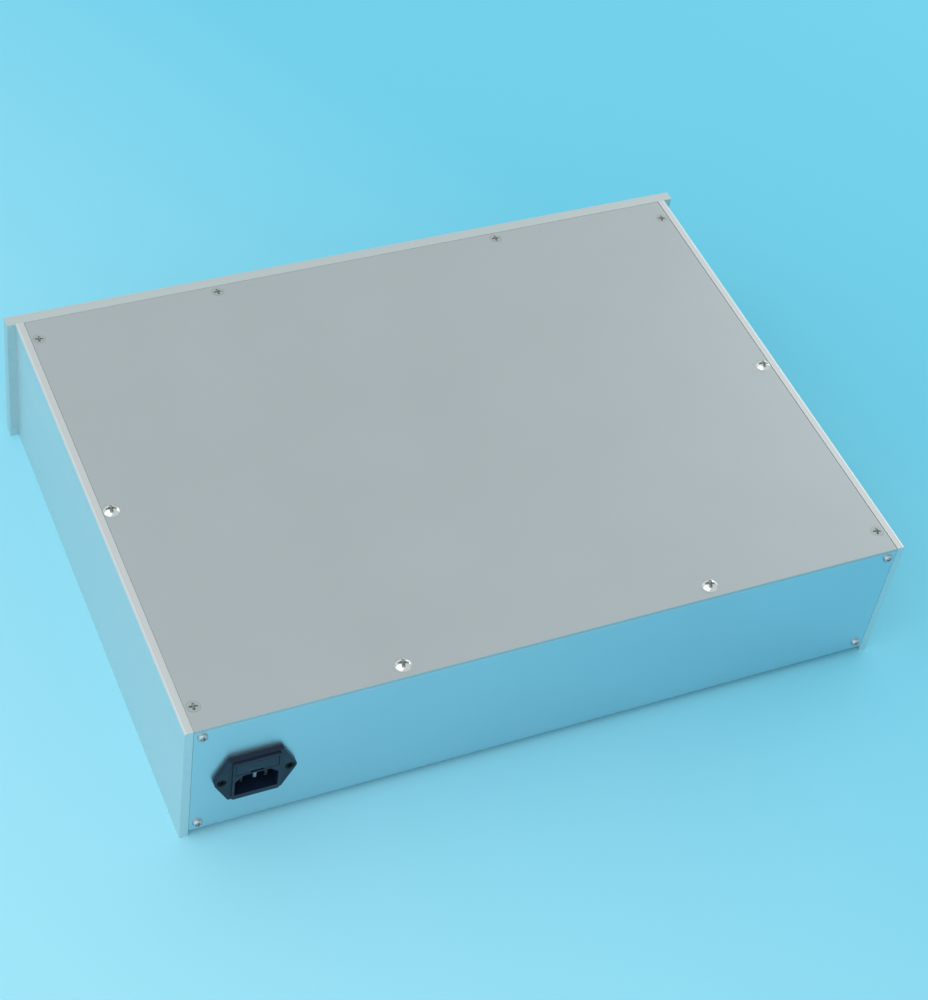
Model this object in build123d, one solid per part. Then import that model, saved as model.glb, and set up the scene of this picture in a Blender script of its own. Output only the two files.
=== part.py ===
from build123d import *
import os

# Aluminium equipment chassis with a fused mains inlet in its rear panel.
# Two extruded side profiles carry the rest: the rear panel is screwed to the ends of their ribs, the
# top plate to the upper ribs, and the bottom plate lies captive in their grooves.
# The rear panel is a folded sheet. The front panel hooks on the bottom plate's front edge, and a bar
# behind it holds it to the top plate.
# Frame: +X to the right as seen from the front, +Y to the rear, +Z up, in millimetres.
# The origin is the middle of the footprint, on the surface that the chassis stands on.

# Body
body_width = 430.0  # over the side profiles
body_height = 93.0
body_depth = 312.0  # from the back of the front panel to the rear face
top_thickness = 2.5
bottom_thickness = 2.0
seam = 0.15  # open joint between a plate and the piece beside it
edge_break = 0.25  # chamfer on the outer edges

# Side profiles
side_thickness = 5.0
side_edge = 1.5  # rounding along the upper outer edge
rib_width = 10.0
rib_height = 8.0
rib_skin = 2.0  # metal left under a tapped hole in a rib or in the front bar
foot_height = 2.0  # wall below the lip
lip_thickness = 2.0  # ledge under the bottom plate
lip_width = 4.0
groove_gap = 0.3  # room for the bottom plate in its grooves

# Front panel and the bar behind it
panel_thickness = 8.0
panel_overhang = 5.0  # past each side profile
panel_edge = 1.2  # chamfer round the front face
panel_skin = 1.0  # front panel left before a tapped hole
panel_groove = 3.0  # depth of the groove that takes the bottom plate

# Rear panel
rear_thickness = 2.5
rear_lift = 5.0  # lower edge above the floor
flange_depth = 16.0  # folded flange under the top plate, from the rear face
fold_edge = 0.5  # radius outside the fold, which is grooved inside before it is bent

# Screws: radii of the shanks, and radial clearances
cover_screw = 2.0
bar_screw = 2.0
rear_screw = 1.5
hole_clearance = 0.25  # round a shank in a plain hole
thread_clearance = 0.1  # round a shank in a tapped hole
seat_clearance = 0.1  # round a countersunk head
tap_runout = 1.0  # tapped hole beyond the screw's end

# Screw heads
flat_head = 3.75  # radius of a countersunk head of the top plate
dome_head = 4.7  # radius of a domed head
dome_height = 2.4
pan_head = 2.8  # radius of a rear panel screw's head
pan_height = 2.0
bar_head = 3.8  # radius of a front bar screw's head
bar_head_height = 2.8

# Screw places
corner_inset = 15.5  # corner cover screws, from the rear face and from the front panel
middle_spacing = 184.0  # between the two middle cover screws of the front and rear edges
bar_screw_spacing = 300.0  # between the two screws of the front bar
rear_thread = 5.0  # rear panel screws in the ends of the ribs

# Mains inlet
inlet_from_side = 40.0  # centre of the inlet from the outside of the nearer side profile
inlet_drop = 1.5  # centre of the inlet below the middle of the body's height
inlet_corner = 1.5
inlet_proud = 4.5  # front face from the rear panel
inlet_floor = 3.5  # back wall behind the socket and the drawer
cutout_clearance = 0.3
ear_shoulder = 1.5  # level edges of the mounting flange past the housing
ear_margin = 1.0  # mounting flange above and below the housing
ear_thickness = 3.0
ear_pitch = 38.0  # between the two inlet screws
ear_radius = 4.0
inlet_screw = 1.5
inlet_screw_head = 2.8
nut_across_flats = 5.5
nut_thickness = 2.4
nut_thread = 1.6  # thread that stands out of the nut

# Socket and pins
socket_width = 24.2
socket_height = 16.2
socket_depth = 17.0
socket_bevel = 4.5  # cut corners beside the earth pin
socket_wall = 3.5  # wall below the socket
socket_cheek = 1.4  # wall beside the socket
pin_width = 2.0
pin_height = 4.0
pin_pitch = 14.0  # between line and neutral
pin_rise = 4.0  # earth pin above the other two
pin_recess = 4.5  # tips of line and neutral behind the inlet's front face
earth_lead = 2.0  # the earth pin stands out further, so that it makes contact first
pin_taper = 0.5  # chamfer at the tips
tab_thickness = 0.8
tab_height = 4.8
tab_length = 8.0

# Fuse drawer
drawer_web = 1.6  # wall between the socket and the drawer
drawer_roof = 2.0  # wall above the drawer
drawer_wall = 0.9  # above and below the fuse
drawer_cheek = 1.15  # at the ends of the fuse
drawer_gap = 0.2  # running clearance of the drawer on every side
drawer_lap = 0.6  # front plate past the drawer on every side
drawer_front = 1.5  # thickness of the front plate
drawer_stop = 0.1  # front plate from the bottom of its rebate
grip_width = 7.0  # notch under the front plate for a screwdriver
grip_height = 1.2
fuse_length = 20.0
fuse_radius = 2.6  # of the end caps
fuse_glass = 2.4  # radius of the tube
fuse_cap = 5.0  # length of an end cap
fuse_clearance = 0.15
contact_space = 4.0  # behind the fuse
contact_gap = 0.3  # between a contact and the fuse
contact_width = 4.0
contact_thickness = 0.6

# Places worked out from the sizes above
depth_over_all = panel_thickness + body_depth + inlet_proud
panel_front = -depth_over_all / 2
panel_back = panel_front + panel_thickness
rear_face = panel_back + body_depth
rear_inside = rear_face - rear_thickness
side_outside = body_width / 2
side_inside = side_outside - side_thickness
rib_inside = side_inside - rib_width
top_inside = body_height - top_thickness
bottom_outside = foot_height + lip_thickness
bottom_inside = bottom_outside + bottom_thickness
middle_y = (panel_back + rear_face) / 2
rib_x = side_inside - rib_width / 2
rib_levels = (bottom_inside + groove_gap + rib_height / 2, top_inside - rib_height / 2)
bar_y = panel_back + rib_width / 2
flange_y = rear_face - flange_depth / 2

inlet_place = Plane(
    origin=(side_outside - inlet_from_side, rear_face, body_height / 2 - inlet_drop),
    x_dir=(-1, 0, 0),
    z_dir=(0, 1, 0),
)
trough_radius = fuse_radius + fuse_clearance
trough_length = fuse_length + 2 * fuse_clearance
drawer_width = trough_length + 2 * drawer_cheek
drawer_height = 2 * (trough_radius + drawer_wall)
slot_width = drawer_width + 2 * drawer_gap
slot_height = drawer_height + 2 * drawer_gap
inlet_width = socket_width + 2 * socket_cheek
inlet_height = socket_wall + socket_height + drawer_web + slot_height + drawer_roof
inlet_back = socket_depth + inlet_floor - inlet_proud
socket_bottom = socket_wall - inlet_height / 2
socket_middle = socket_bottom + socket_height / 2
socket_end = inlet_proud - socket_depth
slot_middle = (inlet_height - slot_height) / 2 - drawer_roof
drawer_end = socket_end + contact_space
fuse_middle = drawer_end + fuse_radius

# Screw lengths under the head, or over all where the head is countersunk
cover_screw_length = top_thickness + rib_height - rib_skin - tap_runout
rear_screw_length = rear_thickness + rear_thread
bar_screw_length = rib_width + panel_thickness - panel_skin - tap_runout
inlet_screw_length = ear_thickness + rear_thickness + nut_thickness + nut_thread

# Screw places, each a plane at the head's seat that faces the way the head does
left_right = (-1, 1)
corner_spots = [
    (side * rib_x, y)
    for side in left_right
    for y in (panel_back + corner_inset, rear_face - corner_inset)
]
front_spots = [(side * middle_spacing / 2, bar_y) for side in left_right]
rear_spots = [(side * middle_spacing / 2, flange_y) for side in left_right]
side_spots = [(side * rib_x, middle_y) for side in left_right]
flat_sites = [Plane(origin=(x, y, body_height)) for x, y in corner_spots + front_spots]
dome_sites = [Plane(origin=(x, y, body_height)) for x, y in rear_spots + side_spots]
rear_sites = [
    Plane(origin=(side * rib_x, rear_face, z), z_dir=(0, 1, 0))
    for side in left_right
    for z in rib_levels
]
bar_sites = [
    Plane(origin=(side * bar_screw_spacing / 2, panel_back + rib_width, rib_levels[1]), z_dir=(0, 1, 0))
    for side in left_right
]
ear_spots = [Pos(side * ear_pitch / 2, 0, ear_thickness) for side in left_right]
ear_sites = [inlet_place * spot for spot in ear_spots]


def block(x_range, y_range, z_range):
    """A box between two values on each axis."""
    size = [high - low for low, high in (x_range, y_range, z_range)]
    centre = [(high + low) / 2 for low, high in (x_range, y_range, z_range)]
    return Pos(*centre) * Box(*size)


def bore(radius, depth):
    """A round hole from the local XY plane down to a depth."""
    return Pos(0, 0, -depth / 2) * Cylinder(radius, depth)


def turned(outline):
    """A solid turned about the local Z axis from an outline of radius and height."""
    return revolve(Plane.XZ * make_face(outline), axis=Axis.Z)


def flat_screw(head, shank, length):
    """Screw with a 90 degree countersunk head, flush with the local XY plane."""
    corners = [(0, 0), (head, 0), (shank, shank - head), (shank, -length), (0, -length)]
    return turned(Polyline(*corners, close=True))


def flat_hole(head, shank, depth):
    """Hole and countersink that seat such a screw."""
    return flat_screw(head + seat_clearance, shank + hole_clearance, depth)


def domed_screw(head, height, shank, length):
    """Screw with a domed head that sits on the local XY plane."""
    dome = TangentArc((0, height), (head, 0), tangent=(1, 0))
    below = [(head, 0), (shank, 0), (shank, -length), (0, -length), (0, height)]
    return turned(dome + Polyline(*below))


def cap_screw(head, height, shank, length):
    """Screw with a plain round head that sits on the local XY plane."""
    return Pos(0, 0, height) * bore(head, height) + bore(shank, length)


def placed(sites, solid):
    """Copies of one solid at a list of places."""
    return [site * solid for site in sites]


def group(sites, solid):
    """Identical fasteners as one group of separate solids."""
    return Compound(children=placed(sites, solid))


def plain_holes(sites, shank, depth):
    """Clearance holes for screws."""
    return placed(sites, bore(shank + hole_clearance, depth))


def tapped_holes(sites, shank, length):
    """Tapped holes for screws of a given length."""
    return placed(sites, bore(shank + thread_clearance, length + tap_runout))


def front_panel():
    """Thick panel with a bevelled front, wider than the body, and a groove for the bottom plate."""
    half = side_outside + panel_overhang
    solid = block((-half, half), (panel_front, panel_back), (0, body_height))
    solid = chamfer(solid.faces().sort_by(Axis.Y)[0].edges(), panel_edge)
    solid = chamfer(solid.faces().sort_by(Axis.Y)[-1].edges(), edge_break)
    groove_y = (panel_back - panel_groove, panel_back)
    groove_z = (bottom_outside - groove_gap, bottom_inside + groove_gap)
    solid -= block((-side_inside, side_inside), groove_y, groove_z)
    return solid - tapped_holes(bar_sites, bar_screw, bar_screw_length)


def side_profile(side):
    """Left (-1) or right (+1) extrusion: a wall, two ribs and a lip under the bottom plate."""
    rib_x_range = sorted((side * side_inside, side * rib_inside))
    lip_x = sorted((side * side_inside, side * (side_inside - lip_width)))
    inner_y = (panel_back, rear_inside)
    wall_x = sorted((side * side_inside, side * side_outside))
    solid = block(wall_x, (panel_back, rear_face), (0, body_height))
    outside = side * side_outside
    upper_edge = solid.edges().sort_by_distance((outside, middle_y, body_height))[0]
    solid = fillet(upper_edge, side_edge)
    rear_edge = solid.edges().sort_by_distance((outside, rear_face, body_height / 2))[0]
    solid = chamfer(rear_edge, edge_break)
    for level in rib_levels:
        solid += block(rib_x_range, inner_y, (level - rib_height / 2, level + rib_height / 2))
    solid += block(lip_x, inner_y, (foot_height, bottom_outside))
    solid -= tapped_holes(flat_sites + dome_sites, cover_screw, cover_screw_length)
    return solid - tapped_holes(rear_sites, rear_screw, rear_screw_length)


def top_plate():
    """Cover that laps over the fold of the rear panel."""
    half = side_inside - seam
    solid = block((-half, half), (panel_back + seam, rear_face), (top_inside, body_height))
    solid = chamfer(solid.faces().sort_by(Axis.Z)[-1].edges(), edge_break)
    solid -= placed(flat_sites, flat_hole(flat_head, cover_screw, top_thickness))
    return solid - plain_holes(dome_sites, cover_screw, top_thickness)


def bottom_plate():
    """Plate in the grooves of the side profiles and of the front panel."""
    half = side_inside - groove_gap
    plate_y = (panel_back - panel_groove + groove_gap, rear_inside - seam)
    return block((-half, half), plate_y, (bottom_outside, bottom_inside))


def rear_panel():
    """Folded sheet: the panel itself and a flange under the top plate, with the inlet's cut-out."""
    half = side_inside - seam
    flange_half = rib_inside - seam
    flange_end = rear_face - flange_depth
    section = Polyline(
        (rear_face, rear_lift),
        (rear_face, top_inside),
        (flange_end, top_inside),
        (flange_end, top_inside - rear_thickness),
        (rear_inside, top_inside - rear_thickness),
        (rear_inside, rear_lift),
        close=True,
    )
    section = make_face(section)
    corner = section.vertices().sort_by_distance((rear_face, top_inside))[0]
    solid = extrude(Plane.YZ * fillet(corner, fold_edge), half, both=True)
    for side in left_right:
        past_flange = sorted((side * flange_half, side * half))
        solid -= block(past_flange, (flange_end, rear_inside), (top_inside - rear_thickness, top_inside))
    cutout = Rectangle(inlet_width + 2 * cutout_clearance, inlet_height + 2 * cutout_clearance)
    solid -= inlet_place * extrude(cutout, -rear_thickness)
    solid -= plain_holes(rear_sites, rear_screw, rear_thickness)
    solid -= plain_holes(ear_sites, inlet_screw, ear_thickness + rear_thickness)
    return solid - tapped_holes(dome_sites, cover_screw, cover_screw_length)


def front_bar():
    """Bar behind the front panel, under the front edge of the top plate."""
    half = rib_inside - seam
    bar_y_range = (panel_back, panel_back + rib_width)
    solid = block((-half, half), bar_y_range, (top_inside - rib_height, top_inside))
    solid -= tapped_holes(flat_sites, cover_screw, cover_screw_length)
    return solid - plain_holes(bar_sites, bar_screw, rib_width)


def pin_spots():
    """Middles of the three pins' sections in the inlet's plane."""
    low = socket_middle - pin_rise / 2
    return {
        "line_pin": (-pin_pitch / 2, low),
        "neutral_pin": (pin_pitch / 2, low),
        "earth_pin": (0, socket_middle + pin_rise / 2),
    }


def contact_spots():
    """Middles of the two fuse contacts' sections in the inlet's plane."""
    reach = (fuse_length - fuse_cap) / 2
    return [(side * reach, slot_middle) for side in left_right]


def prism(spot, width, height, w_range):
    """A bar along the inlet's axis with a given section about a spot."""
    u, v = spot
    return block((u - width / 2, u + width / 2), (v - height / 2, v + height / 2), w_range)


def socket_outline():
    """Socket mouth with its two upper corners cut off."""
    outline = Pos(0, socket_middle) * Rectangle(socket_width, socket_height)
    return chamfer(outline.vertices().group_by(Axis.Y)[-1], socket_bevel)


def inlet_housing():
    """Moulded housing: flange with two ears, socket, and the drawer's slot above it."""
    ears = [Pos(side * ear_pitch / 2, 0) * Circle(ear_radius) for side in left_right]
    middle = Rectangle(inlet_width + 2 * ear_shoulder, inlet_height + 2 * ear_margin)
    outline = make_hull(middle.edges() + ears[0].edges() + ears[1].edges())
    body = RectangleRounded(inlet_width, inlet_height, inlet_corner)
    solid = extrude(outline, ear_thickness)
    solid += Pos(0, 0, -inlet_back) * extrude(body, inlet_back + inlet_proud)
    solid -= Pos(0, 0, socket_end) * extrude(socket_outline(), socket_depth)
    solid -= prism((0, slot_middle), slot_width, slot_height, (socket_end, inlet_proud))
    lap = 2 * drawer_lap
    rebate = (inlet_proud - drawer_front - drawer_stop, inlet_proud)
    solid -= prism((0, slot_middle), slot_width + lap, slot_height + lap, rebate)
    back_wall = (-inlet_back, socket_end)
    for spot in pin_spots().values():
        solid -= prism(spot, pin_width, pin_height, back_wall)
    for spot in contact_spots():
        solid -= prism(spot, contact_width, contact_thickness, back_wall)
    solid -= placed(ear_spots, flat_hole(inlet_screw_head, inlet_screw, ear_thickness))
    return inlet_place * solid


def inlet_pin(spot, tip):
    """Pin through the socket's floor up to a given tip, with a solder tab behind."""
    pin = prism(spot, pin_width, pin_height, (-inlet_back, tip))
    pin = chamfer(pin.faces().sort_by(Axis.Z)[-1].edges(), pin_taper)
    tab = prism(spot, tab_thickness, tab_height, (-inlet_back - tab_length, -inlet_back))
    return inlet_place * (pin + tab)


def fuse_contacts():
    """Two contact blades that end just behind the fuse's caps, with solder tabs."""
    w_range = (-inlet_back - tab_length, drawer_end - contact_gap)
    blades = [prism(spot, contact_width, contact_thickness, w_range) for spot in contact_spots()]
    return Compound(children=[inlet_place * blade for blade in blades])


def fuse_bar(radius, low, high):
    """A round bar on the fuse's axis, between two places across the inlet."""
    return Pos((low + high) / 2, slot_middle, fuse_middle) * Rot(0, 90, 0) * Cylinder(radius, high - low)


def fuse_drawer():
    """Drawer with a lapped front plate and a trough for the fuse, open at its inner end."""
    lap = 2 * drawer_lap
    front = (inlet_proud - drawer_front, inlet_proud)
    solid = prism((0, slot_middle), drawer_width, drawer_height, (drawer_end, inlet_proud))
    solid += prism((0, slot_middle), drawer_width + lap, drawer_height + lap, front)
    grip_bottom = slot_middle - drawer_height / 2 - drawer_lap
    solid -= prism((0, grip_bottom + grip_height / 2), grip_width, grip_height, front)
    solid -= fuse_bar(trough_radius, -trough_length / 2, trough_length / 2)
    solid -= prism((0, slot_middle), trough_length, 2 * trough_radius, (drawer_end, fuse_middle))
    return inlet_place * solid


def fuse_tube():
    """Glass tube of the fuse, between its caps."""
    reach = fuse_length / 2 - fuse_cap
    return inlet_place * fuse_bar(fuse_glass, -reach, reach)


def fuse_caps():
    """Metal caps on the ends of the tube."""
    end = fuse_length / 2
    ranges = [sorted((side * end, side * (end - fuse_cap))) for side in left_right]
    return Compound(children=[inlet_place * fuse_bar(fuse_radius, *span) for span in ranges])


def inlet_nut():
    """Hexagon nut on the inside of the rear panel."""
    outline = RegularPolygon(nut_across_flats / 2, 6, major_radius=False)
    outline -= Circle(inlet_screw + thread_clearance)
    seat = ear_thickness + rear_thickness
    return Pos(0, 0, -seat - nut_thickness) * extrude(outline, nut_thickness)


cover_flat = flat_screw(flat_head, cover_screw, cover_screw_length)
cover_dome = domed_screw(dome_head, dome_height, cover_screw, cover_screw_length)
rear_pan = cap_screw(pan_head, pan_height, rear_screw, rear_screw_length)
bar_cap = cap_screw(bar_head, bar_head_height, bar_screw, bar_screw_length)

parts = {
    "front_panel": front_panel(),
    "left_side_profile": side_profile(-1),
    "right_side_profile": side_profile(1),
    "top_plate": top_plate(),
    "bottom_plate": bottom_plate(),
    "rear_panel": rear_panel(),
    "front_bar": front_bar(),
    "top_flat_screws": group(flat_sites, cover_flat),
    "top_dome_screws": group(dome_sites, cover_dome),
    "front_bar_screws": group(bar_sites, bar_cap),
    "rear_panel_screws": group(rear_sites, rear_pan),
    "inlet_housing": inlet_housing(),
    "inlet_screws": group(ear_sites, flat_screw(inlet_screw_head, inlet_screw, inlet_screw_length)),
    "inlet_nuts": group(ear_sites, inlet_nut()),
    "fuse_drawer": fuse_drawer(),
    "fuse_tube": fuse_tube(),
    "fuse_caps": fuse_caps(),
    "fuse_contacts": fuse_contacts(),
}
for name, spot in pin_spots().items():
    lead = earth_lead if name == "earth_pin" else 0
    parts[name] = inlet_pin(spot, inlet_proud - pin_recess + lead)

os.makedirs("parts", exist_ok=True)
for name, solid in parts.items():
    export_step(solid, os.path.join("parts", name + ".step"))
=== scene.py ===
"""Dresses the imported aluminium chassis: recessed screws, soft mouldings, finishes and a stage."""
import math
from functools import partial

import bmesh
import bpy
import numpy as np
from mathutils import Euler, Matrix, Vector


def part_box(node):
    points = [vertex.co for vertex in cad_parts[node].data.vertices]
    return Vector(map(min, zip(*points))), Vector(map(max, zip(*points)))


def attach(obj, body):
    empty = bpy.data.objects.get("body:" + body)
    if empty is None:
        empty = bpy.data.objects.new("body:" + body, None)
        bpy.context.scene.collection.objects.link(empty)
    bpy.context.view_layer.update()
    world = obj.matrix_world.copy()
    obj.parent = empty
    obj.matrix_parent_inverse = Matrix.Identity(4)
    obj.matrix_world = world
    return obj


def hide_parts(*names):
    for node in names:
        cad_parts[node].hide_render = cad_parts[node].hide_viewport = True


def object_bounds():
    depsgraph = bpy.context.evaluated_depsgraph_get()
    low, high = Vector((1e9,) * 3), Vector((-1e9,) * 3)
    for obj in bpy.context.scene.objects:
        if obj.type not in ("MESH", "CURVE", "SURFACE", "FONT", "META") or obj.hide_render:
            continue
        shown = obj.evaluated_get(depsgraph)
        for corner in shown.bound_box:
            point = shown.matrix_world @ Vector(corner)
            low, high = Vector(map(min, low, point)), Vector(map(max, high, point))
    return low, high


bl_info = {
    "name": "Aluminium chassis dresser",
    "version": (1, 0, 0),
    "blender": (4, 5, 0),
    "location": "3D View > Sidebar > Chassis",
    "description": "Adds screws, mouldings, finishes and a studio stage to the packed chassis",
    "category": "Object",
}

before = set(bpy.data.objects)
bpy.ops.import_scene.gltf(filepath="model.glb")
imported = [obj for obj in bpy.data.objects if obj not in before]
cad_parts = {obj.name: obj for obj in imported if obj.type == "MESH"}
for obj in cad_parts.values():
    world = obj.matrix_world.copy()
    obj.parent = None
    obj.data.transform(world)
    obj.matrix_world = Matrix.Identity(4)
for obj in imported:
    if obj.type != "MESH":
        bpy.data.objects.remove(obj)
CAD_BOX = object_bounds()
MM = 0.001
X, Y, Z = range(3)
FIXED_BODY = "chassis"
DRAWER_BODY = "drawer"

# Nearly all of a noise pattern's values lie between these two.
NOISE_SPAN = (0.3, 0.7)
# A pattern's darkest and palest shade, as gains on the finish's colour.
CLOUD_SHADES = (0.985, 1.01)
LINE_SHADES = (0.96, 1.04)
PATCH_SHADES = (0.93, 1.03)
PEBBLE_SHADES = (0.8, 1.25)
# How far a pattern makes the finish smoother and rougher, added to its roughness.
GRAIN_SPREAD = (-0.05, 0.05)
LINE_SPREAD = (-0.06, 0.06)
PEBBLE_SPREAD = (-0.06, 0.08)
# The same for the patches of a plating, as gains on its roughness.
PATCH_SPREAD = (0.8, 1.3)
# How high a pattern stands where its bump has full strength.
METAL_RELIEF = 0.04 * MM
PEBBLE_RELIEF = 0.05 * MM
WAVE_RELIEF = 0.1 * MM
# Each plating's colour setting, painted recess shade setting and roughness.
PLATINGS = {
    "zinc plated steel": ("zinc", "painted_zinc_recess_shade", 0.42),
    "bright zinc plated steel": ("bright_zinc", "painted_zinc_recess_shade", 0.34),
    "nickel plated steel": ("nickel", "painted_recess_shade", 0.16),
    "nickel plated brass": ("earth_nickel", "painted_recess_shade", 0.35),
    "black oxide steel": ("black_oxide", "painted_recess_shade", 0.38),
    "tinned brass": ("tin", "painted_recess_shade", 0.48),
}

RECESS = "recess"  # the attribute that holds how deep a point lies in a recess
RECESS_RAMP = 0.06  # width of a recess's sloping wall over the head's radius
RECESS_FALL = 0.55  # share of its depth that a recess has lost at the end of a wing
SCREW_REACH = 15.0 * MM  # points of one screw lie within this of each other, seen along its axis
TIP_BAND = 0.1 * MM  # points within this of a screw's lowest belong to its tip
TIP_TURNS = 1.2  # turns of thread over which a tip tapers
TIP_TAPER = 0.25  # share of the shank's radius that the taper takes off
ROWS_PER_TURN = 6  # rows of points in each turn of thread

MERGE_DISTANCE = 0.001 * MM  # corners of a moulding this near to each other are one
FLAT_ANGLE = math.radians(0.5)  # faces of a moulding that meet at less than this are joined
BEVEL_ANGLE = math.radians(40.0)  # edges of a moulding sharper than this are rounded
BEVEL_SEGMENTS = 2
SMOOTH_ANGLE = math.radians(35.0)  # edges of a piece sharper than this stay sharp

FLOOR_HALF = 6.0  # metres from the middle to the floor's sides
SENSOR_HEIGHT = 24.0  # millimetres


def linear(code):
    """An sRGB hex colour as linear red, green and blue."""
    value = np.array([int(code[i:i + 2], 16) for i in (1, 3, 5)]) / 255.0
    return tuple(np.where(value <= 0.04045, value / 12.92, ((value + 0.055) / 1.055) ** 2.4))


def colour(name, code, description):
    """A colour setting whose default is an sRGB hex value."""
    return bpy.props.FloatVectorProperty(
        name=name, description=description, subtype="COLOR", size=3, min=0.0, max=1.0,
        default=linear(code),
    )


def length(name, millimetres, description, least=0.0):
    """A length setting whose default is given in millimetres."""
    return bpy.props.FloatProperty(
        name=name, description=description, subtype="DISTANCE", unit="LENGTH", min=least,
        default=millimetres * MM,
    )


def factor(name, default, description):
    """A setting between 0 and 1."""
    return bpy.props.FloatProperty(
        name=name, description=description, subtype="FACTOR", min=0.0, max=1.0, default=default
    )


def rotation(name, degrees, description):
    """An angle setting whose default is given in degrees."""
    return bpy.props.FloatProperty(
        name=name, description=description, subtype="ANGLE", unit="ROTATION",
        default=math.radians(degrees),
    )


def watts(name, default, description):
    """A lamp's power setting in watts."""
    return bpy.props.FloatProperty(
        name=name, description=description, unit="POWER", min=0.0, default=default
    )


def location(name, default, description):
    """A setting for a place in metres."""
    return bpy.props.FloatVectorProperty(
        name=name, description=description, subtype="XYZ", unit="LENGTH", default=default
    )


class ChassisFinish(bpy.types.PropertyGroup):
    """Colours, roughness and pattern sizes of the metals, the plastic and the glass."""

    blasted: colour("Blasted aluminium", "#C5CDD1", "Reflected colour of the blasted plates")
    # Painted reflection: the rear panel is the same anodised sheet as the plates, given a paler,
    # bluer colour that stands in for the blue floor it reflects.
    satin: colour("Rear aluminium with painted reflection", "#C6DBE4", "Reflected colour of the rear panel")
    bright: colour("Bright aluminium", "#DFE3E4", "Reflected colour of the anodised side profiles")
    panel: colour("Panel aluminium", "#D3DCDD", "Reflected colour of the brushed front panel")
    sheet_roughness: factor("Sheet roughness", 0.36, "Roughness of the plates and the rear panel")
    profile_roughness: factor("Profile roughness", 0.44, "Roughness of the extruded sides")
    panel_roughness: factor("Panel roughness", 0.5, "Roughness of the brushed front panel")
    blast_grain: length("Blast grain", 0.45, "Size of the sheets' grain")
    cloud: length("Clouding", 70.0, "Size of the faint clouds in the anodising")
    die_line: length("Die lines", 0.7, "Spacing of the fine lines along an extrusion")
    brush_line: length("Brush lines", 0.5, "Spacing of the brush lines along the front panel")
    line_length: length("Line length", 600.0, "Length of a die or brush line")
    plating_patch: length("Plating patch", 2.0, "Size of the duller patches in plated metal")
    # Painted shade: how far the base colour darkens in a screw's recess, following the recess
    # attribute, to stand in for the shade that falls there.
    painted_recess_shade: factor(
        "Painted recess shade", 0.75, "Share of the light lost in the recess of a bright or black screw"
    )
    painted_zinc_recess_shade: factor(
        "Zinc painted recess shade", 0.5, "Share of the light lost in the recess of a zinc plated screw"
    )
    plastic: colour("Inlet plastic", "#0A1C33", "Colour of the moulded inlet")
    plastic_roughness: factor("Plastic roughness", 0.40, "Roughness of the moulded inlet")
    plastic_grain: length("Plastic grain", 0.35, "Size of the moulded texture")
    glass_wave: length("Glass wave", 3.0, "Size of the waves in the fuse's glass")
    nickel: colour("Nickel", "#E6EAE9", "Reflected colour of nickel plate")
    zinc: colour("Zinc", "#BEC6C6", "Reflected colour of dull zinc plate")
    bright_zinc: colour("Bright zinc", "#BCC6CC", "Reflected colour of the rear screws' zinc plate")
    # Painted shade: far darker than tin's own colour, to stand in for the shade over the line and
    # neutral pins; the fuse contacts wear it too.
    tin: colour("Tin", "#4E4D4A", "Reflected colour of the tinned pins and contacts")
    earth_nickel: colour("Earth pin nickel", "#A3A3A3", "Reflected colour of the earth pin's plate")
    black_oxide: colour("Black oxide", "#1A1B1D", "Colour of the blackened inlet screws")
    fuse_glass: colour("Fuse glass", "#EEF4F2", "Tint of the fuse's tube")


class ScrewDetail(bpy.types.PropertyGroup):
    """Sizes of the screws' recesses and threads, and of the mouldings' edges."""

    wing_ratio: factor("Wing length", 0.62, "Cross recess over the head's radius")
    wing_width: factor("Wing width", 0.15, "Half width of a wing over the head's radius")
    recess_depth: factor("Recess depth", 0.38, "Depth of the recess over the head's radius")
    first_turn: rotation("First turn", 70.0, "Turn of the first screw's recess about its axis")
    next_turn: rotation("Next turn", 4.0, "Turn of each further recess from the one before")
    coarse_pitch: length("Coarse pitch", 0.7, "Thread pitch of the top plate's screws")
    fine_pitch: length("Fine pitch", 0.5, "Thread pitch of the rear panel's and the inlet's screws")
    thread_depth: factor("Thread depth", 0.6, "Depth of a thread over its pitch")
    pan_squareness: bpy.props.FloatProperty(
        name="Pan squareness", description="Power of a pan head's rounded profile",
        min=2.0, max=8.0, default=3.0,
    )
    moulding_edge: length("Moulding edge", 0.35, "Rounding of the inlet's moulded edges")


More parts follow.
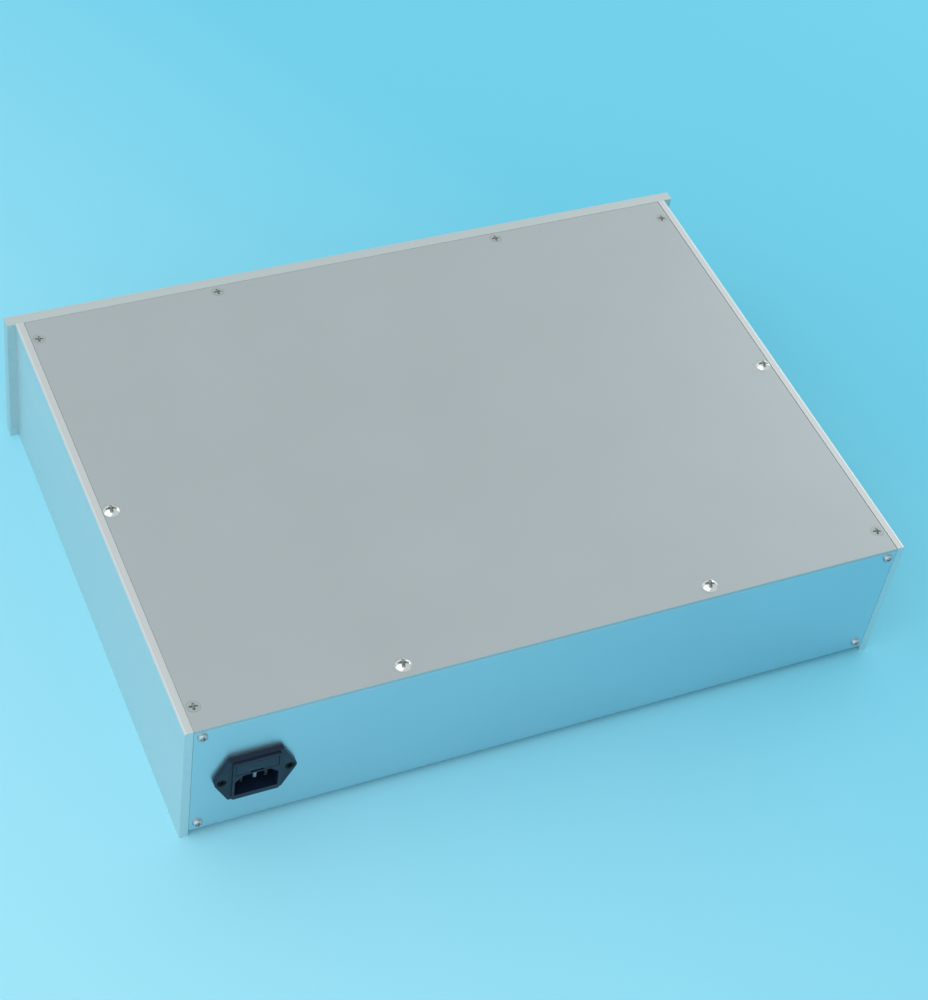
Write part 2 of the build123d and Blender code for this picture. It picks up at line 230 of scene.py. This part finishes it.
class StageSettings(bpy.types.PropertyGroup):
    """Floor, lamps and camera."""

    floor: colour("Floor", "#72D5F1", "Colour of the floor beyond the object")
    # Painted light: the floor pales towards the camera's left, standing in for the stronger light
    # that falls there.
    pale_floor: colour("Pale floor", "#A5EBFF", "Colour of the floor at the camera's left")
    fade_start: length(
        "Fade start", -300.0, "Where the floor begins to pale, from the middle", least=-1.0
    )
    fade_end: length("Fade end", 360.0, "Where the floor is palest, from the middle")
    fade_way: bpy.props.FloatVectorProperty(
        name="Fade way", description="Direction in which the floor pales", subtype="DIRECTION",
        default=(0.900, 0.436, 0.0),
    )
    room: colour("Room", "#D8DDDD", "Light from the room all round")
    key_power: watts("Key power", 37.0, "Power of the broad lamp at the camera's left")
    key_size: length("Key size", 4200.0, "Side of the broad lamp")
    key_place: location("Key lamp", (1.9, 0.7, 1.7), "Place of the broad lamp")
    softbox_size: length("Softbox size", 900.0, "Side of the two small softboxes beyond the object")
    left_power: watts("Left power", 0.4, "Power of the left softbox")
    left_place: location("Left softbox", (0.74, -1.17, 0.91), "Place of the left softbox")
    right_power: watts("Right power", 2.6, "Power of the right softbox")
    right_place: location("Right softbox", (-1.34, -0.70, 0.52), "Place of the right softbox")
    camera_place: location("Camera", (0.4636, 0.8134, 1.0413), "Place of the camera")
    camera_turn: bpy.props.FloatVectorProperty(
        name="Camera turn", description="Turn of the camera about X, Y and Z",
        subtype="EULER", unit="ROTATION",
        default=tuple(math.radians(angle) for angle in (42.5625, -6.8859, 156.9610)),
    )
    lens: bpy.props.FloatProperty(
        name="Lens", description="Focal length for a sensor 24 mm high", unit="CAMERA",
        min=1.0, default=55.333,
    )


def add(tree, kind, sockets=None, **settings):
    """Adds a node with its settings, and links or sets its input sockets."""
    node = tree.nodes.new(kind)
    for name, value in settings.items():
        setattr(node, name, value)
    for name, value in (sockets or {}).items():
        if isinstance(value, bpy.types.NodeSocket):
            tree.links.new(value, node.inputs[name])
        else:
            node.inputs[name].default_value = value
    return node


def new_material(name):
    """An empty material, its node tree, and the Object coordinates of whatever wears it."""
    material = bpy.data.materials.new(name)
    material.use_nodes = True
    tree = material.node_tree
    tree.nodes.clear()
    place = add(tree, "ShaderNodeTexCoord").outputs["Object"]
    return material, tree, place


def close_material(tree, shader):
    """Links a finished shader to the material's output."""
    add(tree, "ShaderNodeOutputMaterial", {"Surface": shader.outputs["BSDF"]})


def rgba(values):
    """A linear colour with full alpha."""
    return (*values, 1.0)


def shade(values, gain):
    """A linear colour made lighter or darker."""
    return rgba(min(1.0, channel * gain) for channel in values)


def grained_sheet(name, finish, tone):
    """Anodised aluminium sheet: an even satin with a fine grain and faint clouding.

    The real grain is about 0.1 mm. It is drawn coarser, so that it shows.
    """
    material, tree, place = new_material(name)
    grain = add(tree, "ShaderNodeTexNoise", {
        "Vector": place, "Scale": 1.0 / finish.blast_grain, "Detail": 2.0,
    })
    clouds = add(tree, "ShaderNodeTexNoise", {
        "Vector": place, "Scale": 1.0 / finish.cloud, "Detail": 3.0,
    })
    tint = add(tree, "ShaderNodeValToRGB", {"Fac": clouds.outputs["Fac"]})
    for end, position, gain in zip(tint.color_ramp.elements, NOISE_SPAN, CLOUD_SHADES):
        end.position, end.color = position, shade(tone, gain)
    rough = add(tree, "ShaderNodeMapRange", {
        "Value": grain.outputs["Fac"], "From Min": NOISE_SPAN[0], "From Max": NOISE_SPAN[1],
        "To Min": finish.sheet_roughness + GRAIN_SPREAD[0],
        "To Max": finish.sheet_roughness + GRAIN_SPREAD[1],
    })
    bump = add(tree, "ShaderNodeBump", {
        "Height": grain.outputs["Fac"], "Strength": 0.10, "Distance": METAL_RELIEF,
    })
    shader = add(tree, "ShaderNodeBsdfPrincipled", {
        "Base Color": tint.outputs["Color"], "Metallic": 1.0,
        "Roughness": rough.outputs["Result"], "Normal": bump.outputs["Normal"],
    })
    close_material(tree, shader)
    return material


def lined_metal(name, finish, tone, roughness, spacing, along, strength):
    """Aluminium with fine lines along one axis, left by an extrusion die or a brush.

    The real lines are about 0.1 mm apart. They are drawn wider apart, so that they show.
    """
    material, tree, place = new_material(name)
    stretch = [1.0 / spacing] * 3
    stretch[along] = 1.0 / finish.line_length
    stretched = add(tree, "ShaderNodeMapping", {"Vector": place, "Scale": stretch})
    lines = add(tree, "ShaderNodeTexNoise", {
        "Vector": stretched.outputs["Vector"], "Scale": 1.0, "Detail": 3.0,
    })
    tint = add(tree, "ShaderNodeValToRGB", {"Fac": lines.outputs["Fac"]})
    for end, position, gain in zip(tint.color_ramp.elements, NOISE_SPAN, LINE_SHADES):
        end.position, end.color = position, shade(tone, gain)
    rough = add(tree, "ShaderNodeMapRange", {
        "Value": lines.outputs["Fac"], "From Min": NOISE_SPAN[0], "From Max": NOISE_SPAN[1],
        "To Min": roughness + LINE_SPREAD[0], "To Max": roughness + LINE_SPREAD[1],
    })
    bump = add(tree, "ShaderNodeBump", {
        "Height": lines.outputs["Fac"], "Strength": strength, "Distance": METAL_RELIEF,
    })
    shader = add(tree, "ShaderNodeBsdfPrincipled", {
        "Base Color": tint.outputs["Color"], "Metallic": 1.0,
        "Roughness": rough.outputs["Result"], "Normal": bump.outputs["Normal"],
    })
    close_material(tree, shader)
    return material


def plated_metal(name, finish):
    """Plated or blackened metal: a little duller in patches, with painted shade darkening the
    screws' recesses.
    """
    tone_setting, painted_shade_setting, roughness = PLATINGS[name]
    tone, painted_shade_share = getattr(finish, tone_setting), getattr(finish, painted_shade_setting)
    material, tree, place = new_material(name)
    patches = add(tree, "ShaderNodeTexNoise", {
        "Vector": place, "Scale": 1.0 / finish.plating_patch, "Detail": 2.0,
    })
    rough = add(tree, "ShaderNodeMapRange", {
        "Value": patches.outputs["Fac"], "From Min": NOISE_SPAN[0], "From Max": NOISE_SPAN[1],
        "To Min": roughness * PATCH_SPREAD[0], "To Max": roughness * PATCH_SPREAD[1],
    })
    tint = add(tree, "ShaderNodeValToRGB", {"Fac": patches.outputs["Fac"]})
    for end, gain in zip(tint.color_ramp.elements, PATCH_SHADES):
        end.color = shade(tone, gain)
    # Painted shade: the base colour darkens with the recess attribute, most near the middle of a
    # cross recess.
    recess = add(tree, "ShaderNodeAttribute", attribute_name=RECESS)
    painted_shade = add(tree, "ShaderNodeMapRange", {
        "Value": recess.outputs["Fac"], "To Min": 1.0, "To Max": 1.0 - painted_shade_share,
    })
    recess_shaded = add(tree, "ShaderNodeVectorMath", {
        "Vector": tint.outputs["Color"], "Scale": painted_shade.outputs["Result"],
    }, operation="SCALE")
    shader = add(tree, "ShaderNodeBsdfPrincipled", {
        "Base Color": recess_shaded.outputs["Vector"], "Metallic": 1.0,
        "Roughness": rough.outputs["Result"],
    })
    close_material(tree, shader)
    return material


def moulded_plastic(finish):
    """Glass-filled nylon, moulded: near black, satin, with a fine pebbled texture."""
    material, tree, place = new_material("moulded black nylon")
    pebbles = add(tree, "ShaderNodeTexNoise", {
        "Vector": place, "Scale": 1.0 / finish.plastic_grain, "Detail": 2.0,
    })
    tint = add(tree, "ShaderNodeValToRGB", {"Fac": pebbles.outputs["Fac"]})
    for end, gain in zip(tint.color_ramp.elements, PEBBLE_SHADES):
        end.color = shade(finish.plastic, gain)
    rough = add(tree, "ShaderNodeMapRange", {
        "Value": pebbles.outputs["Fac"], "From Min": NOISE_SPAN[0], "From Max": NOISE_SPAN[1],
        "To Min": finish.plastic_roughness + PEBBLE_SPREAD[0],
        "To Max": finish.plastic_roughness + PEBBLE_SPREAD[1],
    })
    bump = add(tree, "ShaderNodeBump", {
        "Height": pebbles.outputs["Fac"], "Strength": 0.2, "Distance": PEBBLE_RELIEF,
    })
    shader = add(tree, "ShaderNodeBsdfPrincipled", {
        "Base Color": tint.outputs["Color"], "Roughness": rough.outputs["Result"],
        "Normal": bump.outputs["Normal"], "IOR": 1.53, "Specular IOR Level": 0.4,
    })
    close_material(tree, shader)
    return material


def clear_glass(finish):
    """Soda-lime glass tube, drawn: clear, with faint waves."""
    material, tree, place = new_material("drawn soda-lime glass")
    waves = add(tree, "ShaderNodeTexNoise", {
        "Vector": place, "Scale": 1.0 / finish.glass_wave, "Detail": 1.0,
    })
    bump = add(tree, "ShaderNodeBump", {
        "Height": waves.outputs["Fac"], "Strength": 0.05, "Distance": WAVE_RELIEF,
    })
    shader = add(tree, "ShaderNodeBsdfPrincipled", {
        "Base Color": rgba(finish.fuse_glass), "Roughness": 0.03, "IOR": 1.52,
        "Transmission Weight": 1.0, "Normal": bump.outputs["Normal"],
    })
    close_material(tree, shader)
    return material


def wear(node, material):
    """Gives a CAD node's object a finish."""
    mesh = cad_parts[node].data
    mesh.materials.clear()
    mesh.materials.append(material)


def corners(node):
    """A CAD node's corner points as an array."""
    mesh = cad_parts[node].data
    points = np.empty(len(mesh.vertices) * 3)
    mesh.vertices.foreach_get("co", points)
    return points.reshape(-1, 3)


def screw_axes(node, axis):
    """The middles of a group's screws, each with its head's and its shank's radius.

    Points near each other, seen along the axis, belong to one screw. Its middle is the middle of
    their box, its head's radius that of the widest, and its shank's radius that at the tip.
    """
    points = corners(node)
    flat = np.delete(points, axis, axis=1)
    along = points[:, axis]
    rest = np.ones(len(points), dtype=bool)
    found = []
    while rest.any():
        first = flat[np.argmax(rest)]
        mine = np.linalg.norm(flat - first, axis=1) < SCREW_REACH
        middle = (flat[mine].min(axis=0) + flat[mine].max(axis=0)) / 2
        radii = np.linalg.norm(flat - middle, axis=1)
        tip = mine & (along < along[mine].min() + TIP_BAND)
        found.append((middle, radii[mine].max(), radii[tip].max()))
        rest &= ~mine
    return found


def cross_recess(radius, distance, angle, detail):
    """Depth of a cross recess at points of a head's top, by distance and angle about its axis.

    Two bars across each other, each 1 inside and 0 outside with a short ramp, the deeper the nearer
    to the middle.
    """
    x, y = distance * np.cos(angle), distance * np.sin(angle)
    reach = detail.wing_ratio * radius
    half = detail.wing_width * radius
    ramp = RECESS_RAMP * radius

    def bar(across, lengthways):
        inside_across = np.clip((half - np.abs(across)) / ramp + 0.5, 0.0, 1.0)
        inside_lengthways = np.clip((reach - np.abs(lengthways)) / ramp + 0.5, 0.0, 1.0)
        return inside_across * inside_lengthways

    cross = np.maximum(bar(x, y), bar(y, x))
    fall = 1.0 - RECESS_FALL * np.clip(distance / reach, 0.0, 1.0)
    return detail.recess_depth * radius * cross * fall


def flat_top(radius, head):
    """Height of a flat head's top: 0 all over, whatever the head's radius."""
    return np.zeros_like(radius)


def dome_top(radius, head, crown):
    """Height of a domed head's top: the cap of a ball, `crown` high, down to 0 at the rim."""
    ball = (head ** 2 + crown ** 2) / (2.0 * crown)
    return crown - ball + np.sqrt(ball ** 2 - radius ** 2)


def pan_top(radius, head, crown, power):
    """Height of a pan head's top: (height / crown) ** power + (radius / head) ** power = 1."""
    return crown * (1.0 - (radius / head) ** power) ** (1.0 / power)


def threaded_shank(shank, top, tip, pitch, detail, columns):
    """Rows of a screw's shank, as radius and height.

    The radius is shank - depth * wave(height / pitch + turn), where the wave falls from 1 to 0 and
    rises again in each pitch, and tapers at the tip.
    """
    rows = int(round((top - tip) / pitch)) * ROWS_PER_TURN
    height = np.linspace(top, tip, rows)[:, None]
    turn = np.arange(columns)[None, :] / columns
    wave = np.abs(((height / pitch + turn) % 1.0) * 2.0 - 1.0)
    taper = np.clip(1.0 - (height - tip) / (TIP_TURNS * pitch), 0.0, 1.0) * TIP_TAPER * shank
    radius = shank - detail.thread_depth * pitch * wave - taper
    return radius, np.broadcast_to(height, radius.shape)


def screw_grid(number, head, shank, tip, pitch, detail, top_height, under, columns=72, rings=40):
    """A screw about +Z as rows of points from the middle of its head to the middle of its tip.

    Row by row: the head's top, height = top_height(radius, head) less the cross recess; the head's
    underside, a straight line to the shank at height `under`; then the thread. The screw's number
    sets how far its recess is turned. A fourth value beside X, Y and Z is the recess's depth as a
    share of its deepest.
    """
    angle = np.arange(columns) / columns * 2.0 * np.pi
    recess_angle = angle - detail.first_turn - number * detail.next_turn
    radius = head * np.linspace(0.0, 1.0, rings)[:, None] * np.ones(columns)
    depth = cross_recess(head, radius, recess_angle, detail)
    height = top_height(radius, head) - depth
    below_radius, below_height = threaded_shank(shank, under, tip, pitch, detail, columns)
    rim = np.full((1, columns), head)
    rim_height = np.zeros((1, columns))
    end = np.zeros((1, columns))
    radius = np.vstack([radius, rim, below_radius, end])
    height = np.vstack([height, rim_height, below_height, end + tip])
    share = np.zeros_like(radius)
    share[:rings] = depth / depth.max()
    return np.stack([radius * np.cos(angle), radius * np.sin(angle), height, share], axis=-1)


def on_seat(grid, axis, middle, seat):
    """A screw grid set on its seat: upright, or laid along +Y, where Z goes to Y and -Y to Z."""
    if axis == Z:
        return grid + np.array([middle[0], middle[1], seat, 0.0])
    laid = np.stack([grid[..., X], grid[..., Z], -grid[..., Y], grid[..., 3]], axis=-1)
    return laid + np.array([middle[0], seat, middle[1], 0.0])


def screw_grids(node, axis, seat, tip, pitch, detail, top_height, sunk=False):
    """Grids of all the screws of a CAD node. A sunk head's underside is a cone of 45 degrees."""
    grids = []
    for number, (middle, head, shank) in enumerate(screw_axes(node, axis)):
        under = shank - head if sunk else 0.0
        grid = screw_grid(number, head, shank, tip, pitch, detail, top_height, under)
        grids.append(on_seat(grid, axis, middle, seat))
    return grids


def capped_faces(rows, columns):
    """Faces of a grid that closes on itself and whose first and last rows are single points."""
    rings = rows - 2
    ring = np.arange(columns)
    after = (ring + 1) % columns
    row = np.arange(rings - 1)[:, None] * columns + 1
    below = row + columns
    quads = np.stack([row + ring, below + ring, below + after, row + after], axis=-1)
    last = rings * columns + 1
    edge = last - columns
    top = np.stack([np.zeros_like(ring), 1 + ring, 1 + after], axis=-1)
    bottom = np.stack([np.full_like(ring, last), edge + after, edge + ring], axis=-1)
    return quads.reshape(-1, 4), np.vstack([top, bottom])


def piece_from_grids(name, grids, material, body, replaced):
    """One object from several capped grids of points, riding on a body in place of a CAD node."""
    points, faces, start = [], [], 0
    for grid in grids:
        rows, columns, _ = grid.shape
        inner = grid[1:-1].reshape(-1, 4)
        points.append(np.vstack([grid[0, :1], inner, grid[-1, :1]]))
        quads, fans = capped_faces(rows, columns)
        faces += (quads + start).tolist() + (fans + start).tolist()
        start += len(inner) + 2
    points = np.vstack(points)
    mesh = bpy.data.meshes.new(name)
    mesh.from_pydata(points[:, :3].tolist(), [], faces)
    mesh.attributes.new(RECESS, "FLOAT", "POINT").data.foreach_set("value", points[:, 3])
    return finish_piece(name, mesh, material, body, replaced)


def finish_piece(name, mesh, material, body, replaced):
    """Puts a finished mesh into the scene, riding on a body in place of a CAD node."""
    mesh.validate()
    mesh.polygons.foreach_set("use_smooth", np.ones(len(mesh.polygons), dtype=bool))
    mesh.set_sharp_from_angle(angle=SMOOTH_ANGLE)
    mesh.materials.clear()
    mesh.materials.append(material)
    piece = bpy.data.objects.new(name, mesh)
    bpy.context.scene.collection.objects.link(piece)
    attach(piece, body)
    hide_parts(replaced)
    return piece


def softened_copy(name, node, edge, material, body):
    """A CAD moulding with its edges rounded: merged, flat faces joined, then bevelled."""
    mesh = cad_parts[node].data.copy()
    work = bmesh.new()
    work.from_mesh(mesh)
    bmesh.ops.remove_doubles(work, verts=work.verts, dist=MERGE_DISTANCE)
    bmesh.ops.dissolve_limit(work, angle_limit=FLAT_ANGLE, verts=work.verts, edges=work.edges)
    work.to_mesh(mesh)
    work.free()
    piece = finish_piece(name, mesh, material, body, node)
    bevel = piece.modifiers.new("moulded edges", "BEVEL")
    bevel.width = edge
    bevel.segments = BEVEL_SEGMENTS
    bevel.limit_method = "ANGLE"
    bevel.angle_limit = BEVEL_ANGLE
    bevel.use_clamp_overlap = True


class CHASSIS_OT_finish_metal(bpy.types.Operator):
    """Finish the plates, profiles, panels and inner bar"""

    bl_idname = "chassis.finish_metal"
    bl_label = "Finish metal"

    def execute(self, context):
        finish = context.scene.chassis_finish
        blasted = grained_sheet("blasted anodised aluminium", finish, finish.blasted)
        # Painted reflection: this sheet differs from the plates' only in its paler, bluer colour,
        # standing in for the reflected floor.
        satin = grained_sheet("satin anodised aluminium", finish, finish.satin)
        profile = lined_metal(
            "extruded anodised aluminium", finish, finish.bright, finish.profile_roughness,
            spacing=finish.die_line, along=Y, strength=0.06,
        )
        panel = lined_metal(
            "brushed anodised aluminium", finish, finish.panel, finish.panel_roughness,
            spacing=finish.brush_line, along=X, strength=0.14,
        )
        for node in ("top_plate", "bottom_plate"):
            wear(node, blasted)
        wear("rear_panel", satin)
        for node in ("left_side_profile", "right_side_profile", "front_bar"):
            wear(node, profile)
        wear("front_panel", panel)
        return {"FINISHED"}


class CHASSIS_OT_top_screws(bpy.types.Operator):
    """Make the flat and the domed screws of the top plate"""

    bl_idname = "chassis.top_screws"
    bl_label = "Top plate screws"

    def execute(self, context):
        finish, detail = context.scene.chassis_finish, context.scene.chassis_screws
        zinc = plated_metal("zinc plated steel", finish)
        nickel = plated_metal("nickel plated steel", finish)
        pitch = detail.coarse_pitch
        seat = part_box("top_plate")[1][Z]
        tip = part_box("top_flat_screws")[0][Z] - seat
        flats = screw_grids("top_flat_screws", Z, seat, tip, pitch, detail, flat_top, sunk=True)
        piece_from_grids("flat_screws", flats, zinc, FIXED_BODY, "top_flat_screws")
        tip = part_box("top_dome_screws")[0][Z] - seat
        dome = partial(dome_top, crown=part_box("top_dome_screws")[1][Z] - seat)
        domes = screw_grids("top_dome_screws", Z, seat, tip, pitch, detail, dome)
        piece_from_grids(
            "dome_screws", domes, nickel, FIXED_BODY, "top_dome_screws"
        )
        return {"FINISHED"}


class CHASSIS_OT_rear_screws(bpy.types.Operator):
    """Make the pan head screws of the rear panel"""

    bl_idname = "chassis.rear_screws"
    bl_label = "Rear panel screws"

    def execute(self, context):
        finish, detail = context.scene.chassis_finish, context.scene.chassis_screws
        zinc = plated_metal("bright zinc plated steel", finish)
        pitch = detail.fine_pitch
        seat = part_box("rear_panel")[1][Y]
        low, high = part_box("rear_panel_screws")
        pan = partial(pan_top, crown=high[Y] - seat, power=detail.pan_squareness)
        pans = screw_grids("rear_panel_screws", Y, seat, low[Y] - seat, pitch, detail, pan)
        piece_from_grids("pan_screws", pans, zinc, FIXED_BODY, "rear_panel_screws")
        return {"FINISHED"}


class CHASSIS_OT_inlet(bpy.types.Operator):
    """Soften the inlet's mouldings and finish its screws, pins, contacts and fuse"""

    bl_idname = "chassis.inlet"
    bl_label = "Mains inlet"

    def execute(self, context):
        finish, detail = context.scene.chassis_finish, context.scene.chassis_screws
        nylon = moulded_plastic(finish)
        edge = detail.moulding_edge
        softened_copy("inlet_moulding", "inlet_housing", edge, nylon, FIXED_BODY)
        softened_copy("drawer_moulding", "fuse_drawer", edge, nylon, DRAWER_BODY)
        black = plated_metal("black oxide steel", finish)
        pitch = detail.fine_pitch
        low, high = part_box("inlet_screws")
        seat = high[Y]
        screws = screw_grids(
            "inlet_screws", Y, seat, low[Y] - seat, pitch, detail, flat_top, sunk=True
        )
        piece_from_grids("ear_screws", screws, black, FIXED_BODY, "inlet_screws")
        for node in ("inlet_nuts", "front_bar_screws"):
            wear(node, bpy.data.materials["zinc plated steel"])
        # The line and neutral pins and the fuse contacts wear the darkened tin, which is painted
        # shade; the earth pin keeps a paler plating.
        tinned = plated_metal("tinned brass", finish)
        for node in ("line_pin", "neutral_pin", "fuse_contacts"):
            wear(node, tinned)
        wear("earth_pin", plated_metal("nickel plated brass", finish))
        wear("fuse_caps", bpy.data.materials["nickel plated steel"])
        wear("fuse_tube", clear_glass(finish))
        return {"FINISHED"}


class CHASSIS_OT_stage(bpy.types.Operator):
    """Set the floor, the room's light, the lamps and the camera"""

    bl_idname = "chassis.stage"
    bl_label = "Stage"

    def execute(self, context):
        stage = context.scene.chassis_stage
        self.floor(stage)
        self.room(context.scene, stage)
        self.softbox("key lamp", stage.key_power, stage.key_size, stage.key_place)
        self.softbox("left softbox", stage.left_power, stage.softbox_size, stage.left_place)
        self.softbox("right softbox", stage.right_power, stage.softbox_size, stage.right_place)
        camera = bpy.data.cameras.new("camera")
        camera.sensor_fit = "VERTICAL"
        camera.sensor_height = SENSOR_HEIGHT
        camera.lens = stage.lens
        holder = bpy.data.objects.new("camera", camera)
        holder.location = stage.camera_place
        holder.rotation_euler = Euler(stage.camera_turn, "XYZ")
        context.scene.collection.objects.link(holder)
        context.scene.camera = holder
        context.scene.view_settings.view_transform = "Standard"
        return {"FINISHED"}

    def floor(self, stage):
        """A level sheet under the object, at the lowest point of its box, paler at one side:
        painted light, brighter towards the camera's left.
        """
        ways = ((-1, -1), (1, -1), (1, 1), (-1, 1))
        square = [(x * FLOOR_HALF, y * FLOOR_HALF, CAD_BOX[0][Z]) for x, y in ways]
        mesh = bpy.data.meshes.new("floor")
        mesh.from_pydata(square, [], [(0, 1, 2, 3)])
        material, tree, place = new_material("floor paper")
        across = add(
            tree, "ShaderNodeVectorMath", {0: place, 1: stage.fade_way}, operation="DOT_PRODUCT"
        )
        # Painted light: this fade brightens the floor towards the camera's left.
        fade = add(tree, "ShaderNodeMapRange", {
            "Value": across.outputs["Value"],
            "From Min": stage.fade_start, "From Max": stage.fade_end,
        })
        tint = add(tree, "ShaderNodeValToRGB", {"Fac": fade.outputs["Result"]})
        tint.color_ramp.elements[0].color = rgba(stage.floor)
        tint.color_ramp.elements[1].color = rgba(stage.pale_floor)
        shader = add(tree, "ShaderNodeBsdfPrincipled", {
            "Base Color": tint.outputs["Color"], "Roughness": 0.9,
        })
        close_material(tree, shader)
        mesh.materials.append(material)
        floor = bpy.data.objects.new("floor", mesh)
        bpy.context.scene.collection.objects.link(floor)

    def room(self, scene, stage):
        """Even light from all round."""
        scene.world = bpy.data.worlds.new("room")
        scene.world.use_nodes = True
        tree = scene.world.node_tree
        tree.nodes.clear()
        light = add(tree, "ShaderNodeBackground", {"Color": rgba(stage.room), "Strength": 1.0})
        add(tree, "ShaderNodeOutputWorld", {"Surface": light.outputs["Background"]})

    def softbox(self, name, power, size, place):
        """A square lamp that faces the origin."""
        lamp = bpy.data.lights.new(name, "AREA")
        lamp.energy = power
        lamp.size = size
        holder = bpy.data.objects.new(name, lamp)
        holder.location = place
        holder.rotation_euler = Vector(place).to_track_quat("Z", "Y").to_euler()
        bpy.context.scene.collection.objects.link(holder)


class CHASSIS_PT_sidebar(bpy.types.Panel):
    """Lists the operators that dress the chassis"""

    bl_idname = "CHASSIS_PT_sidebar"
    bl_label = "Chassis"
    bl_space_type = "VIEW_3D"
    bl_region_type = "UI"
    bl_category = "Chassis"

    def draw(self, context):
        for operator in OPERATORS:
            self.layout.operator(operator.bl_idname)


SETTINGS = {
    "chassis_finish": ChassisFinish,
    "chassis_screws": ScrewDetail,
    "chassis_stage": StageSettings,
}
OPERATORS = (
    CHASSIS_OT_finish_metal,
    CHASSIS_OT_top_screws,
    CHASSIS_OT_rear_screws,
    CHASSIS_OT_inlet,
    CHASSIS_OT_stage,
)


def register():
    """Registers the settings, the operators and the panel."""
    for name, group in SETTINGS.items():
        bpy.utils.register_class(group)
        setattr(bpy.types.Scene, name, bpy.props.PointerProperty(type=group))
    for operator in OPERATORS:
        bpy.utils.register_class(operator)
    bpy.utils.register_class(CHASSIS_PT_sidebar)


def unregister():
    """Takes the panel, the operators and the settings out again."""
    bpy.utils.unregister_class(CHASSIS_PT_sidebar)
    for operator in reversed(OPERATORS):
        bpy.utils.unregister_class(operator)
    for name, group in SETTINGS.items():
        delattr(bpy.types.Scene, name)
        bpy.utils.unregister_class(group)


def main():
    register()
    bpy.ops.chassis.finish_metal()
    bpy.ops.chassis.top_screws()
    bpy.ops.chassis.rear_screws()
    bpy.ops.chassis.inlet()
    bpy.ops.chassis.stage()


if __name__ == "__main__":
    main()
